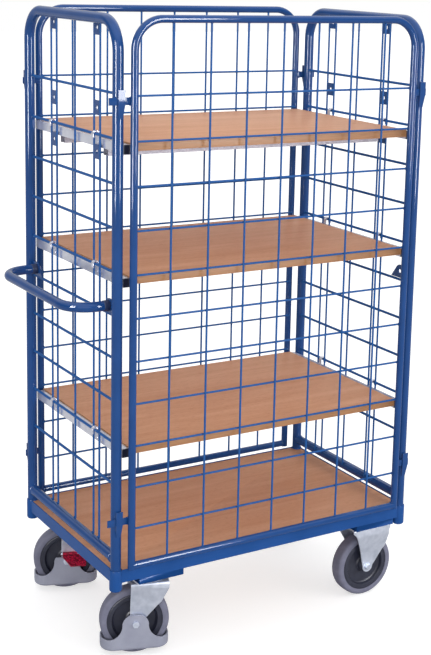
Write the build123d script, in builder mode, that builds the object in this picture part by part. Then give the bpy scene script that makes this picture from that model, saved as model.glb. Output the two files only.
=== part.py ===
"""Shelf trolley: a wheeled base with mesh walls on all four sides and three lift-off shelves."""
import os

from build123d import *

os.makedirs("parts", exist_ok=True)

# Whole trolley: X runs along it with the push handle at the minus end, Y across, Z up from the floor
total_height = 1825.0
end_spacing = 985.0
leg_spacing = 596.0
seam = 0.02
play = 0.4
mesh_pitch = 120.0
wire_r = 3.0

# Base frame
channel_height = 18.0
channel_wall = 4.0
rail_height = 38.0
rail_wall = 3.0
rail_out = 11.5
ledge_width = 30.0
deck_thick = 18.0
deck_drop = 2.0
deck_gap = 0.5
socket_wall = 2.9
socket_drop = 25.0
socket_floor = 8.0
socket_round = 7.0

# End walls
end_tube_r = 15.0
end_tube_wall = 2.0
end_bend_r = 85.0
end_bar_lift = 32.0
end_wire_count = 10
end_wire_drop = 191.5
level_wire_r = 4.0
level_wire_in = 4.9
pair_spacing = 290.0
pair_gap = 38.0
plate_thick = 3.0
plate_height = 40.0
plate_hole_r = 6.0
plate_below_wire = 50.0
plate_below_bar = 27.0

# Long walls
wall_inset = 35.5
wall_set_in = 4.5
wall_tube_r = 10.5
wall_tube_wall = 1.5
wall_bend_r = 80.0
wall_bar_lift = 14.0
wall_wire_lift = 105.0
wall_wire_count = 11
wall_wire_in = 1.5
wall_upright_count = 7
wall_upright_pitch = 115.0

# Keepers on the end legs and tabs on the long walls
keeper_width = 20.0
keeper_foot_width = 13.0
keeper_thick = 3.0
keeper_flat = 38.0
keeper_taper = 38.0
keeper_grip = 5.5
keeper_root = 9.0
tab_thick = 3.8
tab_height = 20.0
tab_sink = 2.0
tab_long = 24.5
tab_short = 4.5
upper_tab_drop = 212.5
lower_tab_lift = 133.0

# Push handle
handle_r = 14.0
handle_wall = 2.0
handle_reach = 112.5
handle_bend_r = 75.0
handle_wire = 6
handle_rise = 25.0
handle_plug = 30.0
lug_thick = 4.0
lug_eye_r = 20.0
lug_hole_r = 6.5
lug_foot = 42.0
lug_in = 48.0
sleeve_wall = 1.0
sleeve_length = 17.0
handle_bolt_depth = 25.0
hex_across = 17.0
hex_height = 6.5

# Shelves
shelf_wires = {"top": 2, "middle": 5, "lower": 9}
shelf_end_play = 3.0
shelf_side_gap = 13.0
board_below_wire = 9.0
board_thick = 22.0
board_edge = 1.0
end_rail_below_wire = 13.0
end_rail_width = 20.0
end_rail_height = 25.0
shelf_steel = 1.5
under_rail_width = 30.0
under_rail_height = 16.0
top_under_rail_height = 31.0
under_lip = 10.0
hook_width = 12.0
hook_thick = 3.0
hook_lip_gap = 1.0
hook_lip_drop = 12.0
hook_foot_drop = 35.0
screw_drop = 24.5
screw_head_r = 4.0
screw_head = 2.6
screw_r = 2.4
screw_length = 12.0
cap_thick = 3.0
cap_plug = 12.0

# Castors
wheel_r = 100.0
wheel_width = 46.0
tyre_thick = 19.0
tyre_round = 9.0
hub_r = 22.0
hub_over = 4.0
hub_gap = 5.0
bearing_r = 11.0
rim_step = 2.0
rim_thick = 15.0
web_half = 8.0
web_flare = 5.0
castor_rise = 40.0
castor_in = 66.5
swivel_in = 150.0
fixed_in = 110.0
swivel_trail = 48.0
swivel_turn = 20.0
plate_length = 140.0
plate_width = 110.0
plate_corner = 8.0
castor_plate = 5.0
bolt_edge = 17.5
bolt_r = 5.0
bolt_hole_r = 5.5
race_r = 36.0
race_height = 8.6
kingpin_r = 8.0
kingpin_head_r = 13.0
kingpin_head = 6.0
run_fit = 0.05
fork_steel = 4.0
fork_flare = 14.0
fork_shoulder_drop = 22.0
fork_waist_rise = 48.0
fork_tip_r = 18.0
fork_fold_r = 8.0
fork_back = 15.0
fork_front = 47.0
fork_nose = 19.0
fork_knee = 74.0
fork_knee_rise = 61.0
fixed_back = 60.0
fixed_front = 66.0
fixed_knee = 62.0
fixed_knee_rise = 58.0
fixed_neck = 28.0
fixed_neck_rise = 50.0
axle_r = 6.0
axle_collar_r = 10.0
axle_head_r = 10.0
axle_head = 8.0

# Foot guard and brake pedal of the swivel castors
guard_short = 2.0
guard_side = 9.0
guard_corner = 38.0
guard_wall = 4.0
guard_low = 8.0
guard_height = 45.0
guard_round = 12.0
guard_lip = 13.0
bell_rise = 26.0
bell_crown = 18.0
bell_shoulder = 38.0
bell_waist = 45.0
bell_foot = 78.0
bell_cheek = 4.0
bell_cheek_rise = 11.0
bell_sag = 5.0
web_boss_r = 14.0
web_rise = 13.0
pedal_out = 8.0
pedal_over = 14.0
pedal_pin_r = 3.0
pedal_barrel_r = 6.0
pedal_fit = 0.1
pedal_from = -11.5
pedal_to = 33.5
pedal_ear = 3.0
pedal_ear_r = 5.0
pedal_edge = -16.0
pedal_round = 4.0
pedal_slope = 34.0
pedal_run = 46.0
pedal_length = 74.0
pedal_thick = 6.0
pedal_cut = 27.0
rib_count = 6
rib_width = 2.6
rib_height = 1.8

# Levels and positions that follow from the sizes above
left_most = end_spacing / 2 + handle_reach + handle_r
right_most = end_spacing / 2 + keeper_width / 2 + tab_long
mid_x = (left_most - right_most) / 2
end_half = end_spacing / 2
leg_half = leg_spacing / 2
castor_height = 2 * wheel_r + castor_rise
rail_low = castor_height + channel_height
rail_top = rail_low + rail_height
deck_top = rail_top - deck_drop
deck_low = deck_top - deck_thick
rail_x = end_half + rail_out
rail_y = leg_half + rail_out
channel_width = plate_length
castor_y = rail_y - castor_in
swivel_x = swivel_in - rail_x
fixed_x = rail_x - fixed_in
socket_r = end_tube_r + seam + socket_wall
socket_low = rail_low - socket_drop
leg_low = socket_low + socket_floor
end_top = total_height - end_tube_r
end_bar_z = rail_top + end_bar_lift
end_wires = [end_top - end_wire_drop - mesh_pitch * n for n in range(end_wire_count)]
upright_in = level_wire_in + level_wire_r + wire_r + seam
pair_half = pair_spacing / 2
uprights = [-pair_half - pair_gap / 2, -pair_half + pair_gap / 2, 0.0]
uprights += [pair_half - pair_gap / 2, pair_half + pair_gap / 2]
wall_y = leg_half + end_tube_r + wall_tube_r
wall_top = total_height - wall_tube_r
wall_bar_z = rail_top + wall_bar_lift
upper_tab_z = wall_top - upper_tab_drop
lower_tab_z = wall_bar_z + lower_tab_lift
wall_wires = [wall_bar_z + wall_wire_lift + mesh_pitch * n for n in range(wall_wire_count)]
wall_uprights = [wall_upright_pitch * (n - (wall_upright_count - 1) / 2) for n in range(wall_upright_count)]
handle_z = end_wires[handle_wire - 1] + handle_rise
handle_half = leg_half - lug_in
board_width = 2 * (leg_half + end_tube_r - shelf_side_gap)
rail_outer = end_half - upright_in - wire_r - shelf_end_play
plate_low = castor_height - castor_plate
crown_top = plate_low - race_height - play
bolt_x = plate_length - 2 * bolt_edge
bolt_y = plate_width - 2 * bolt_edge
hub_width = wheel_width + 2 * hub_over
fork_low_half = hub_width / 2 + hub_gap + fork_steel
fork_top_half = fork_low_half + fork_flare
fork_shoulder = crown_top - fork_shoulder_drop
fork_waist = wheel_r + fork_waist_rise
fork_knee_z = wheel_r + fork_knee_rise
fixed_knee_z = wheel_r + fixed_knee_rise
fixed_neck_z = wheel_r + fixed_neck_rise
guard_length = 2 * (wheel_r - guard_short)
guard_width = 2 * (fork_low_half + guard_side)
bell_top = wheel_r + bell_rise
bell_waist_z = wheel_r
web_pedal_top = wheel_r + web_rise
pedal_y = fork_low_half + pedal_out
pedal_z = wheel_r + axle_head_r + pedal_over
corners = [(mid_x + x, y) for x in (-end_half, end_half) for y in (-leg_half, leg_half)]


def save(piece, name):
    """Labels one piece and writes it as its own file."""
    piece.label = name
    export_step(piece, f"parts/{name}.step")


def rod_y(radius, length, x, y, z, mode=Mode.ADD):
    """Round bar lying across the trolley."""
    with Locations((x, y, z)):
        Cylinder(radius, length, rotation=(90, 0, 0), mode=mode)


def rod_x(radius, length, x, y, z, mode=Mode.ADD):
    """Round bar lying along the trolley."""
    with Locations((x, y, z)):
        Cylinder(radius, length, rotation=(0, 90, 0), mode=mode)


def rod_z(radius, low, high, x, y, mode=Mode.ADD):
    """Round bar standing upright between two heights."""
    with Locations((x, y, (low + high) / 2)):
        Cylinder(radius, high - low, mode=mode)


def block(size, centre, mode=Mode.ADD):
    """Plain block by its middle."""
    with Locations(centre):
        Box(*size, mode=mode)


def castor_bolt_holes(x, y):
    """Four bolt holes of one castor, through whatever lies at the height of its plate."""
    with Locations((x, y, castor_height)):
        with GridLocations(bolt_x, bolt_y, 2, 2):
            Cylinder(bolt_hole_r, 4 * castor_plate, mode=Mode.SUBTRACT)


def bent_tube(plane, corners, bend, radius, wall):
    """Round tube bent along a path of corner points in a plane."""
    with BuildPart() as tube:
        with BuildLine(plane) as path:
            FilletPolyline(*corners, radius=bend)
        with BuildSketch(Plane(origin=path.wire() @ 0, z_dir=path.wire() % 0)):
            Circle(radius)
            Circle(radius - wall, mode=Mode.SUBTRACT)
        sweep(path=path.wire())
    return tube.part


# Base rails: flat-faced edge rails with an inner ledge for the deck, cut round at the corner sockets
end_ledge = 2 * (rail_y - ledge_width - seam)
with BuildPart() as base_rails:
    for side in (-1, 1):
        block((end_spacing, rail_wall, rail_height),
              (mid_x, side * (rail_y - rail_wall / 2), rail_low + rail_height / 2))
        block((end_spacing, ledge_width, rail_wall),
              (mid_x, side * (rail_y - ledge_width / 2), deck_low - rail_wall / 2))
        block((rail_wall, leg_spacing, rail_height),
              (mid_x + side * (rail_x - rail_wall / 2), 0, rail_low + rail_height / 2))
        block((ledge_width, end_ledge, rail_wall),
              (mid_x + side * (rail_x - ledge_width / 2), 0, deck_low - rail_wall / 2))
    for x, y in corners:
        rod_z(socket_r + seam, 0, total_height, x, y, Mode.SUBTRACT)
save(base_rails.part, "base_rails")

# Castor channels: wide cross members under the rails, closed at their ends, drilled for the castors
flange_top = deck_low - rail_wall - seam
with BuildPart() as castor_channels:
    for x in (swivel_x, fixed_x):
        block((channel_width, 2 * rail_y, channel_wall), (mid_x + x, 0, castor_height + channel_wall / 2))
        for side in (-1, 1):
            block((rail_wall, 2 * (rail_y - rail_wall - seam), flange_top - castor_height),
                  (mid_x + x + side * (channel_width - rail_wall) / 2, 0, (flange_top + castor_height) / 2))
            closing_y = side * (rail_y - (rail_wall + seam) / 2)
            block((channel_width, rail_wall + seam, channel_height - seam),
                  (mid_x + x, closing_y, castor_height + (channel_height - seam) / 2))
        for y in (-castor_y, castor_y):
            castor_bolt_holes(mid_x + x, y)
save(castor_channels.part, "castor_channels")

# Corner sockets: round cups that take the feet of the end walls
with BuildPart() as corner_sockets:
    for x, y in corners:
        rod_z(socket_r, socket_low, rail_top, x, y)
    fillet(corner_sockets.edges().group_by(Axis.Z)[0], socket_round)
    for x, y in corners:
        rod_z(end_tube_r + seam, leg_low - seam, total_height, x, y, Mode.SUBTRACT)
save(corner_sockets.part, "corner_sockets")

# Deck: a board let in between the rails, notched round the sockets
with BuildPart() as deck_board:
    block((2 * (rail_x - rail_wall - deck_gap), 2 * (rail_y - rail_wall - deck_gap), deck_thick - seam),
          (mid_x, 0, deck_top - (deck_thick - seam) / 2))
    for x, y in corners:
        rod_z(socket_r + deck_gap, 0, total_height, x, y, Mode.SUBTRACT)
save(deck_board.part, "deck_board")


# End walls: a bent tube with a cross bar low down, filled with a wire mesh with two pairs of uprights
def end_frame(side):
    """Tube frame of one end wall."""
    x = mid_x + side * end_half
    feet = [(-leg_half, leg_low), (-leg_half, end_top), (leg_half, end_top), (leg_half, leg_low)]
    with BuildPart() as bar:
        rod_y(end_tube_r, leg_spacing, x, 0, end_bar_z)
        rod_y(end_tube_r - end_tube_wall, leg_spacing, x, 0, end_bar_z, Mode.SUBTRACT)
        for y in (-leg_half, leg_half):
            rod_z(end_tube_r + seam, 0, total_height, x, y, Mode.SUBTRACT)
    hoop = bent_tube(Plane.YZ.offset(x), feet, end_bend_r, end_tube_r, end_tube_wall)
    return Compound(children=[hoop, bar.part.solids().sort_by(SortBy.VOLUME)[-1]])


def end_mesh(side):
    """Wires of one end wall: level wires outside, uprights inside them."""
    x = mid_x + side * end_half
    with BuildPart() as mesh:
        for y in uprights:
            rod_z(wire_r, end_bar_z, end_top, x - side * upright_in, y)
        for z in end_wires:
            rod_y(level_wire_r, leg_spacing, x - side * level_wire_in, 0, z)
        for y in (-leg_half, leg_half):
            rod_z(end_tube_r + seam, 0, total_height, x, y, Mode.SUBTRACT)
        for z in (end_bar_z, end_top):
            rod_y(end_tube_r + seam, leg_spacing, x, 0, z, Mode.SUBTRACT)
    return mesh.part


for side, end_name in ((-1, "left"), (1, "right")):
    save(end_frame(side), f"{end_name}_end_frame")
    save(end_mesh(side), f"{end_name}_end_wires")

# Perforated plates: small drilled plates welded between the paired uprights near the top
plate_levels = [end_top - plate_below_bar, end_wires[0] - plate_below_wire, end_wires[1] - plate_below_wire]
with BuildPart() as end_plates:
    for side in (-1, 1):
        x = mid_x + side * (end_half - upright_in)
        for y in (-pair_half, pair_half):
            for z in plate_levels:
                block((plate_thick, pair_gap - 2 * wire_r - 2 * seam, plate_height), (x, y, z))
                rod_x(plate_hole_r, 4 * plate_thick, x, y, z, Mode.SUBTRACT)
        rod_y(end_tube_r + seam, leg_spacing, mid_x + side * end_half, 0, end_top, Mode.SUBTRACT)
save(end_plates.part, "end_plates")


# Keepers: straps on the end legs, open at the top, that hold the tabs of the long walls
def keeper(x, side, tab_z):
    """One strap on an end leg, standing off it and tapering back to it below."""
    flat_low = tab_z - tab_height / 2 + tab_sink
    top = flat_low + keeper_flat
    low = flat_low - keeper_taper
    stand = end_tube_r + keeper_grip
    outer = stand + keeper_thick
    with BuildPart() as strap:
        with BuildSketch(Plane.YZ.offset(x - keeper_width / 2)):
            with Locations((side * leg_half, 0)):
                Polygon(*[(side * a, b) for a, b in (
                    (stand, top), (outer, top), (outer, flat_low), (end_tube_r + keeper_thick / 2, low),
                    (keeper_root, low), (keeper_root, low + keeper_taper / 2),
                    (end_tube_r, low + keeper_taper / 2),
                    (stand, flat_low))], align=None)
        extrude(amount=keeper_width)
        with BuildSketch(Plane.XZ):
            Polygon((x - keeper_width / 2, top), (x + keeper_width / 2, top),
                    (x + keeper_width / 2, flat_low), (x + keeper_foot_width / 2, low),
                    (x - keeper_foot_width / 2, low), (x - keeper_width / 2, flat_low), align=None)
        extrude(amount=2 * wall_y, both=True, mode=Mode.INTERSECT)
        rod_z(end_tube_r + seam, 0, total_height, x, side * leg_half, Mode.SUBTRACT)
    return strap.part


with BuildPart() as wall_keepers:
    for x in (-end_half, end_half):
        for side in (-1, 1):
            for tab_z in (lower_tab_z, upper_tab_z):
                add(keeper(mid_x + x, side, tab_z))
save(wall_keepers.part, "wall_keepers")


# Handle lugs: eye plates beside every end leg, standing on a mesh wire
lug_foot_z = end_wires[handle_wire - 1] + level_wire_r + seam
with BuildPart() as handle_lugs:
    for end in (-1, 1):
        x = mid_x + end * end_half
        for side in (-1, 1):
            eye_y = side * handle_half
            with BuildSketch(Plane.YZ.offset(x - lug_thick / 2)):
                with Locations((eye_y, handle_z)):
                    Circle(lug_eye_r)
                Polygon((side * leg_half, handle_z + lug_eye_r), (side * leg_half, lug_foot_z),
                        (eye_y - side * lug_foot, lug_foot_z), (eye_y, handle_z), align=None)
                make_hull()
            extrude(amount=lug_thick)
            rod_x(lug_hole_r, 4 * lug_thick, x, eye_y, handle_z, Mode.SUBTRACT)
            rod_z(end_tube_r + seam, 0, total_height, x, side * leg_half, Mode.SUBTRACT)
save(handle_lugs.part, "handle_lugs")

# Push handle: a bent tube with solid drilled ends, bolted against the lugs of the left end
handle_root = mid_x - end_half - lug_thick / 2 - seam
handle_out = mid_x - end_half - handle_reach
bow = [(handle_root, -handle_half), (handle_out, -handle_half)]
bow += [(handle_out, handle_half), (handle_root, handle_half)]
handle_tube = bent_tube(Plane.XY.offset(handle_z), bow, handle_bend_r, handle_r, handle_wall)
with BuildPart() as push_handle:
    add(handle_tube)
    for y in (-handle_half, handle_half):
        rod_x(handle_r - handle_wall / 2, handle_plug, handle_root - handle_plug / 2, y, handle_z)
        rod_x(bolt_r + seam, 2 * (handle_bolt_depth + seam), handle_root, y, handle_z, Mode.SUBTRACT)
save(push_handle.part, "push_handle")

with BuildPart() as handle_sleeves:
    for y in (-handle_half, handle_half):
        rod_x(handle_r + sleeve_wall, sleeve_length, handle_root - sleeve_length / 2, y, handle_z)
        rod_x(handle_r + seam, 2 * sleeve_length, handle_root - sleeve_length / 2, y, handle_z, Mode.SUBTRACT)
save(handle_sleeves.part, "handle_sleeves")


# Long walls: lighter tube frames that hang on the end walls, with a square mesh
def wall_legs(side):
    """Places of the two legs of a long wall along the trolley, the one at the short tabs set further in."""
    left_in = wall_inset if side < 0 else wall_inset + wall_set_in
    right_in = wall_inset if side > 0 else wall_inset + wall_set_in
    return mid_x - end_half + left_in, mid_x + end_half - right_in


def wall_tabs(side):
    """Flat tabs welded to the legs of a long wall, long past the keepers at one end, short at the other."""
    y = side * (leg_half + end_tube_r + keeper_grip / 2)
    with BuildPart() as tabs:
        for end, leg_x in zip((-1, 1), wall_legs(side)):
            past_keeper = tab_long if end == side else tab_short
            tip_x = mid_x + end * (end_half + keeper_width / 2 + past_keeper)
            for z in (lower_tab_z, upper_tab_z):
                block((abs(tip_x - leg_x), tab_thick, tab_height), ((tip_x + leg_x) / 2, y, z))
            rod_z(wall_tube_r + seam, 0, total_height, leg_x, side * wall_y, Mode.SUBTRACT)
    return tabs.part


def wall_frame(side):
    """Tube frame of one long wall with its bottom bar and its tabs."""
    y = side * wall_y
    foot = wall_bar_z - wall_tube_r
    left_x, right_x = wall_legs(side)
    span, middle = right_x - left_x, (left_x + right_x) / 2
    feet = [(left_x, foot), (left_x, wall_top), (right_x, wall_top), (right_x, foot)]
    with BuildPart() as bar:
        rod_x(wall_tube_r, span, middle, y, wall_bar_z)
        rod_x(wall_tube_r - wall_tube_wall, span, middle, y, wall_bar_z, Mode.SUBTRACT)
        for x in (left_x, right_x):
            rod_z(wall_tube_r + seam, 0, total_height, x, y, Mode.SUBTRACT)
    hoop = bent_tube(Plane.XZ.offset(-y), feet, wall_bend_r, wall_tube_r, wall_tube_wall)
    return Compound(children=[hoop, bar.part.solids().sort_by(SortBy.VOLUME)[-1], *wall_tabs(side).solids()])


def wall_mesh(side):
    """Wires of one long wall: uprights outside, level wires inside them."""
    y = side * (wall_y - wall_wire_in)
    left_x, right_x = wall_legs(side)
    span, middle = right_x - left_x, (left_x + right_x) / 2
    with BuildPart() as mesh:
        for x in wall_uprights:
            rod_z(wire_r, wall_bar_z, wall_top, mid_x + x, y)
        for z in wall_wires:
            rod_x(wire_r, span, middle, y - side * (2 * wire_r + seam), z)
        for x in (left_x, right_x):
            rod_z(wall_tube_r + seam, 0, total_height, x, side * wall_y, Mode.SUBTRACT)
        for z in (wall_bar_z, wall_top):
            rod_x(wall_tube_r + seam, span, middle, side * wall_y, z, Mode.SUBTRACT)
    return mesh.part


for side, wall_name in ((-1, "front"), (1, "back")):
    save(wall_frame(side), f"{wall_name}_wall_frame")
    save(wall_mesh(side), f"{wall_name}_wall_wires")

# Shelves: a board between two end rails on two under rails, hung on the mesh by four hooks
board_half = rail_outer - end_rail_width - seam
hook_inner_x = rail_outer + hook_thick + seam
hook_gap = (end_half - level_wire_in + level_wire_r + hook_lip_gap - hook_inner_x) / 2
hook_mid_x = hook_inner_x + hook_gap
wire_off = end_half - level_wire_in - hook_mid_x
hook_rise = ((hook_gap - level_wire_r - play) ** 2 - wire_off ** 2) ** 0.5


def shelf_board(wire_z):
    """Wooden board with softened edges."""
    with BuildPart() as board:
        block((2 * board_half, board_width, board_thick),
              (mid_x, 0, wire_z - board_below_wire - board_thick / 2))
        chamfer(board.edges().filter_by(Axis.X), board_edge)
    return board.part


def shelf_end_rails(wire_z):
    """Two box rails across the ends of the board."""
    z = wire_z - end_rail_below_wire - end_rail_height / 2
    with BuildPart() as rails:
        for end in (-1, 1):
            x = mid_x + end * (rail_outer - end_rail_width / 2)
            block((end_rail_width, board_width - 2 * cap_thick, end_rail_height), (x, 0, z))
            block((end_rail_width - 2 * shelf_steel, board_width, end_rail_height - 2 * shelf_steel),
                  (x, 0, z), Mode.SUBTRACT)
            for y in (-pair_half, pair_half):
                rod_x(screw_r + seam, 2 * end_rail_width, mid_x + end * rail_outer, y, wire_z - screw_drop,
                      Mode.SUBTRACT)
    return rails.part


def shelf_under_rails(wire_z, height):
    """Two folded channels along the underside of the board, between the end rails."""
    top = wire_z - board_below_wire - board_thick - seam
    with BuildPart() as rails:
        for y in (-pair_half, pair_half):
            with BuildSketch(Plane.YZ.offset(mid_x - board_half)):
                with Locations((y, top - height / 2)):
                    Rectangle(under_rail_width, height)
                    Rectangle(under_rail_width - 2 * shelf_steel, height - 2 * shelf_steel,
                              mode=Mode.SUBTRACT)
                with Locations((y, top - height)):
                    Rectangle(under_rail_width - 2 * under_lip, 4 * shelf_steel, mode=Mode.SUBTRACT)
            extrude(amount=2 * board_half)
    return rails.part


def shelf_hooks(wire_z):
    """Strap hooks that rise from the end rails, arch over the mesh wire and turn down outside it."""
    arch_z = wire_z - hook_rise
    outer_gap = hook_gap + hook_thick
    foot_z = wire_z - hook_foot_drop
    lip_z = wire_z - hook_lip_drop
    with BuildPart() as hooks:
        for end in (-1, 1):
            for y in (-pair_half, pair_half):
                with BuildSketch(Plane.XZ.offset(-y - hook_width / 2)):
                    with Locations((mid_x + end * hook_mid_x, arch_z)):
                        Circle(outer_gap)
                        Circle(hook_gap, mode=Mode.SUBTRACT)
                    with Locations((mid_x + end * hook_mid_x, arch_z - outer_gap)):
                        Rectangle(2 * outer_gap, 2 * outer_gap, mode=Mode.SUBTRACT)
                    leg_x = mid_x + end * (hook_mid_x - hook_gap - hook_thick / 2)
                    with Locations((leg_x, (arch_z + foot_z) / 2)):
                        Rectangle(hook_thick, arch_z - foot_z)
                    lip_x = mid_x + end * (hook_mid_x + hook_gap + hook_thick / 2)
                    with Locations((lip_x, (arch_z + lip_z) / 2)):
                        Rectangle(hook_thick, arch_z - lip_z)
                extrude(amount=hook_width)
                rod_x(screw_r + seam, 4 * hook_thick, leg_x, y, wire_z - screw_drop, Mode.SUBTRACT)
    return hooks.part


def shelf_screws(wire_z):
    """Round-headed screws that hold the hooks to the end rails."""
    with BuildPart() as screws:
        for end in (-1, 1):
            face = hook_inner_x + seam
            for y in (-pair_half, pair_half):
                rod_x(screw_head_r, screw_head, mid_x + end * (face + screw_head / 2), y, wire_z - screw_drop)
                rod_x(screw_r, screw_length, mid_x + end * (face - screw_length / 2), y, wire_z - screw_drop)
    return screws.part


def shelf_caps(wire_z):
    """Plastic caps plugged into the ends of the end rails."""
    z = wire_z - end_rail_below_wire - end_rail_height / 2
    inner = 2 * (shelf_steel + seam)
    with BuildPart() as caps:
        for end in (-1, 1):
            x = mid_x + end * (rail_outer - end_rail_width / 2)
            for side in (-1, 1):
                face = side * (board_width / 2 - cap_thick + seam)
                block((end_rail_width, cap_thick - seam, end_rail_height),
                      (x, face + side * (cap_thick - seam) / 2, z))
                block((end_rail_width - inner, cap_plug, end_rail_height - inner),
                      (x, face - side * cap_plug / 2, z))
    return caps.part


for shelf_name, number in shelf_wires.items():
    hang_z = end_wires[number - 1]
    save(shelf_board(hang_z), f"{shelf_name}_shelf_board")
    save(shelf_end_rails(hang_z), f"{shelf_name}_shelf_end_rails")
    under_height = top_under_rail_height if shelf_name == "top" else under_rail_height
    save(shelf_under_rails(hang_z, under_height), f"{shelf_name}_shelf_under_rails")
    save(shelf_hooks(hang_z), f"{shelf_name}_shelf_hooks")
    save(shelf_screws(hang_z), f"{shelf_name}_shelf_screws")
    save(shelf_caps(hang_z), f"{shelf_name}_shelf_caps")

# Swivel plates: two drilled plates under the channel of the swivel castors
swivel_spots = [(mid_x + swivel_x, y) for y in (-castor_y, castor_y)]
fixed_spots = [(mid_x + fixed_x, y) for y in (-castor_y, castor_y)]
with BuildPart() as swivel_plates:
    with BuildSketch(Plane.XY.offset(plate_low)):
        with Locations(*swivel_spots):
            RectangleRounded(plate_length, plate_width, plate_corner)
    extrude(amount=castor_plate - seam)
    for x, y in swivel_spots:
        castor_bolt_holes(x, y)
save(swivel_plates.part, "swivel_plates")

# Hexagon bolts: sixteen through the castor plates with their nuts, two through the lugs into the handle
nut_z = castor_height + channel_wall + seam
head_x = mid_x - end_half + lug_thick / 2 + seam
shank_x = handle_root - handle_bolt_depth
with BuildPart() as hex_bolts:
    for x, y in swivel_spots + fixed_spots:
        for base_z in (plate_low - seam - hex_height, nut_z):
            with BuildSketch(Plane.XY.offset(base_z)):
                with Locations((x, y)):
                    with GridLocations(bolt_x, bolt_y, 2, 2):
                        RegularPolygon(hex_across / 2, 6, major_radius=False)
            extrude(amount=hex_height)
        with Locations((x, y, (plate_low + nut_z) / 2)):
            with GridLocations(bolt_x, bolt_y, 2, 2):
                Cylinder(bolt_r, nut_z - plate_low + 2 * hex_height)
    for y in (-handle_half, handle_half):
        with BuildSketch(Plane.YZ.offset(head_x)):
            with Locations((y, handle_z)):
                RegularPolygon(hex_across / 2, 6, major_radius=False)
        extrude(amount=hex_height)
        rod_x(bolt_r, head_x - shank_x, (head_x + shank_x) / 2, y, handle_z)
save(hex_bolts.part, "hex_bolts")


# Castors: each is laid out from the floor under its axle, with x along the rolling direction
def castor_planes(x, y, turn):
    """Floor plane, side plane and end plane of a castor turned about the upright."""
    floor = Plane(origin=(x, y, 0)).rotated((0, 0, turn))
    side = Plane(origin=(x, y, 0), x_dir=floor.x_dir, z_dir=-floor.y_dir)
    end = Plane(origin=(x, y, 0), x_dir=floor.y_dir, z_dir=floor.x_dir)
    return floor, side, end


def cross_rod(side, radius, near, far):
    """Round bar along the axle between two distances from the wheel plane."""
    with Locations(side.offset((near + far) / 2)):
        with Locations((0, wheel_r, 0)):
            Cylinder(radius, abs(far - near))


def pressed_fork(planes, crown, top_half, plate, outline):
    """Fork folded from plate: a bent channel section cut to a side outline and drilled for the axle."""
    floor, side, end = planes
    foot = wheel_r - fork_tip_r
    outer = [(fork_low_half, foot), (fork_low_half, fork_waist), (top_half, fork_shoulder), (top_half, crown)]
    inner = [(top_half - fork_steel, crown - plate), (top_half - fork_steel, fork_shoulder),
             (fork_low_half - fork_steel, fork_waist), (fork_low_half - fork_steel, foot)]
    right = outer[::-1]
    left = [(-a, b) for a, b in outer]
    with BuildPart() as fork:
        with BuildSketch(end) as section:
            Polygon(*left, *right, *inner[::-1], *[(-a, b) for a, b in inner], align=None)
            fillet(section.vertices().group_by(Axis.Y)[-2], fork_fold_r - fork_steel)
            fillet(section.vertices().group_by(Axis.Y)[-1], fork_fold_r)
        extrude(amount=2 * wheel_r, both=True)
        with BuildSketch(side):
            Polygon(*outline, align=None)
            with Locations((0, wheel_r)):
                Circle(fork_tip_r)
        extrude(amount=2 * top_half, both=True, mode=Mode.INTERSECT)
        with BuildSketch(side):
            with Locations((0, wheel_r)):
                Circle(axle_r + seam)
        extrude(amount=2 * top_half, both=True, mode=Mode.SUBTRACT)
    return fork.part


def axle_bolt(planes, grip):
    """Axle bolt with a hexagon head and nut outside the grip and spacer collars inside the fork."""
    floor, side, end = planes
    collar_from = hub_width / 2 + play
    collar_to = fork_low_half - fork_steel - seam
    with BuildPart() as axle:
        cross_rod(side, axle_r, -grip - axle_head, grip + axle_head)
        for face in (-1, 1):
            cross_rod(side, axle_collar_r, face * collar_from, face * collar_to)
            with BuildSketch(side.offset(face * (grip + seam))):
                with Locations((0, wheel_r)):
                    RegularPolygon(axle_head_r, 6)
            extrude(amount=face * axle_head)
    return axle.part


def wheel_pieces(planes):
    """Bearing, moulded wheel centre and tyre of one wheel, turned about the axle."""
    floor, side, end = planes
    axle = Axis(end.from_local_coords((0, wheel_r, 0)), end.x_dir)
    rim_r = wheel_r - tyre_thick
    half_hub = hub_width / 2
    half_rim = wheel_width / 2 - rim_step
    flank = [(half_hub, bearing_r + seam), (half_hub, hub_r), (web_half, hub_r + web_flare),
             (web_half, rim_r - rim_thick - web_flare), (half_rim, rim_r - rim_thick), (half_rim, rim_r)]
    with BuildPart() as bearing:
        with BuildSketch(end):
            with Locations((0, wheel_r + (axle_r + run_fit + bearing_r) / 2)):
                Rectangle(hub_width, bearing_r - axle_r - run_fit)
        revolve(axis=axle)
    with BuildPart() as rim:
        with BuildSketch(end):
            with Locations((0, wheel_r)):
                Polygon(*flank, *[(-a, b) for a, b in flank[::-1]], align=None)
        revolve(axis=axle)
    with BuildPart() as tyre:
        with BuildSketch(end) as section:
            with Locations((0, wheel_r + rim_r + seam + (tyre_thick - seam) / 2)):
                Rectangle(wheel_width, tyre_thick - seam)
            fillet(section.vertices().group_by(Axis.Y)[-1], tyre_round)
        revolve(axis=axle)
    return bearing.part, rim.part, tyre.part


def save_wheel(planes, name):
    """Writes the three pieces of one wheel."""
    bearing, rim, tyre = wheel_pieces(planes)
    save(bearing, f"{name}_bearing")
    save(rim, f"{name}_rim")
    save(tyre, f"{name}_tyre")


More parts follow.
